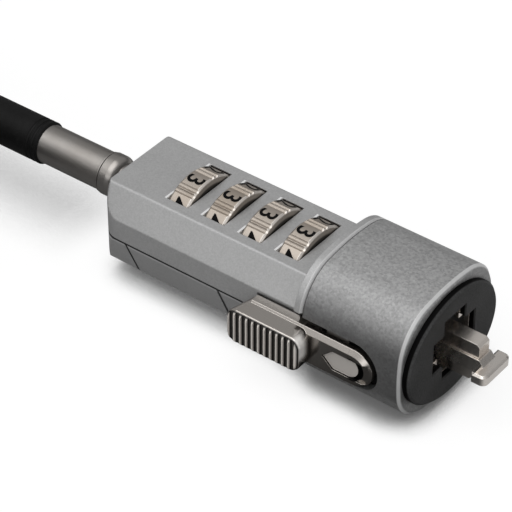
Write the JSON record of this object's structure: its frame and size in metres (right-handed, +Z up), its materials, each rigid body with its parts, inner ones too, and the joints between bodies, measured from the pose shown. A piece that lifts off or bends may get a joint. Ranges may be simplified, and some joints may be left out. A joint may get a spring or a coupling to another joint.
{
  "type": "laptop cable lock",
  "caption": "Combination cable lock for a computer's security slot: T-shaped hook, sliding locking fork, thumb slider, number dials and a swivelling coiled steel cable with a looped end.",
  "frame": {"origin": "centre of the nose's front face, where the hook leaves it", "axes": "+X along the lock towards the hook's tip, +Y away from the thumb slider, +Z up through the dial windows"},
  "size_m": [0.1597, 0.0704, 0.0276],
  "materials": {
    "housing_paint": "satin silver-grey paint on a zinc casting",
    "sleeve_paint": "silver paint with fine metal flake",
    "nose_plastic": "satin black",
    "bright_nickel": "polished warm nickel plate",
    "dial_nickel": "satin nickel with black numerals",
    "brass_inner": "machined",
    "plain_steel": "plain",
    "block_plastic": "moulded black",
    "boot_rubber": "matt black shrink sleeve",
    "cable_jacket": "smooth black jacket over steel strand",
    "crimp_metal": "pressed"
  },
  "bodies": {
    "lock": {"housing": "housing_paint", "lower_shell": "housing_paint", "side_cover": "housing_paint", "shell_screws": "plain_steel", "sleeve_pins": "plain_steel", "front_sleeve": "sleeve_paint", "nose_bumper": "nose_plastic", "guide_plate": "bright_nickel", "guide_block": "block_plastic", "hook": "bright_nickel", "hook_pin": "plain_steel", "detent_spring": "plain_steel", "neck_bush": "bright_nickel"},
    "slider": {"slider_button": "bright_nickel", "slider_carriage": "plain_steel", "slider_dowels": "plain_steel", "locking_fork": "bright_nickel", "fork_rivets": "plain_steel", "spindle": "plain_steel", "spindle_clip": "plain_steel"},
    "dial_wheel_1": {"dial_1": "dial_nickel", "code_hub_1": "brass_inner"},
    "dial_wheel_2": {"dial_2": "dial_nickel", "code_hub_2": "brass_inner"},
    "dial_wheel_3": {"dial_3": "dial_nickel", "code_hub_3": "brass_inner"},
    "dial_wheel_4": {"dial_4": "dial_nickel", "code_hub_4": "brass_inner"},
    "cable": {"swivel_stud": "plain_steel", "cable_ferrule": "bright_nickel", "cable_boot": "boot_rubber", "cable_inner": "cable_jacket", "cable_lead": "cable_jacket", "cable_coil": "cable_jacket", "cable_eye": "cable_jacket", "eye_crimp": "crimp_metal"}
  },
  "joints": [
    {"name": "slider_travel", "type": "slide", "parent": "lock", "child": "slider", "axis": [-1, 0, 0], "range_m": [0, 0.0045]},
    {"name": "dial_turn_1", "type": "hinge", "parent": "lock", "child": "dial_wheel_1", "pos_m": [-0.0425, 0, 0.00085], "axis": [1, 0, 0], "continuous": true},
    {"name": "dial_turn_2", "type": "hinge", "parent": "lock", "child": "dial_wheel_2", "pos_m": [-0.03625, 0, 0.00085], "axis": [1, 0, 0], "continuous": true},
    {"name": "dial_turn_3", "type": "hinge", "parent": "lock", "child": "dial_wheel_3", "pos_m": [-0.03, 0, 0.00085], "axis": [1, 0, 0], "continuous": true},
    {"name": "dial_turn_4", "type": "hinge", "parent": "lock", "child": "dial_wheel_4", "pos_m": [-0.02375, 0, 0.00085], "axis": [1, 0, 0], "continuous": true},
    {"name": "cable_swivel", "type": "hinge", "parent": "lock", "child": "cable", "pos_m": [-0.0591, 0, 0.00085], "axis": [1, 0, 0], "continuous": true}
  ]
}
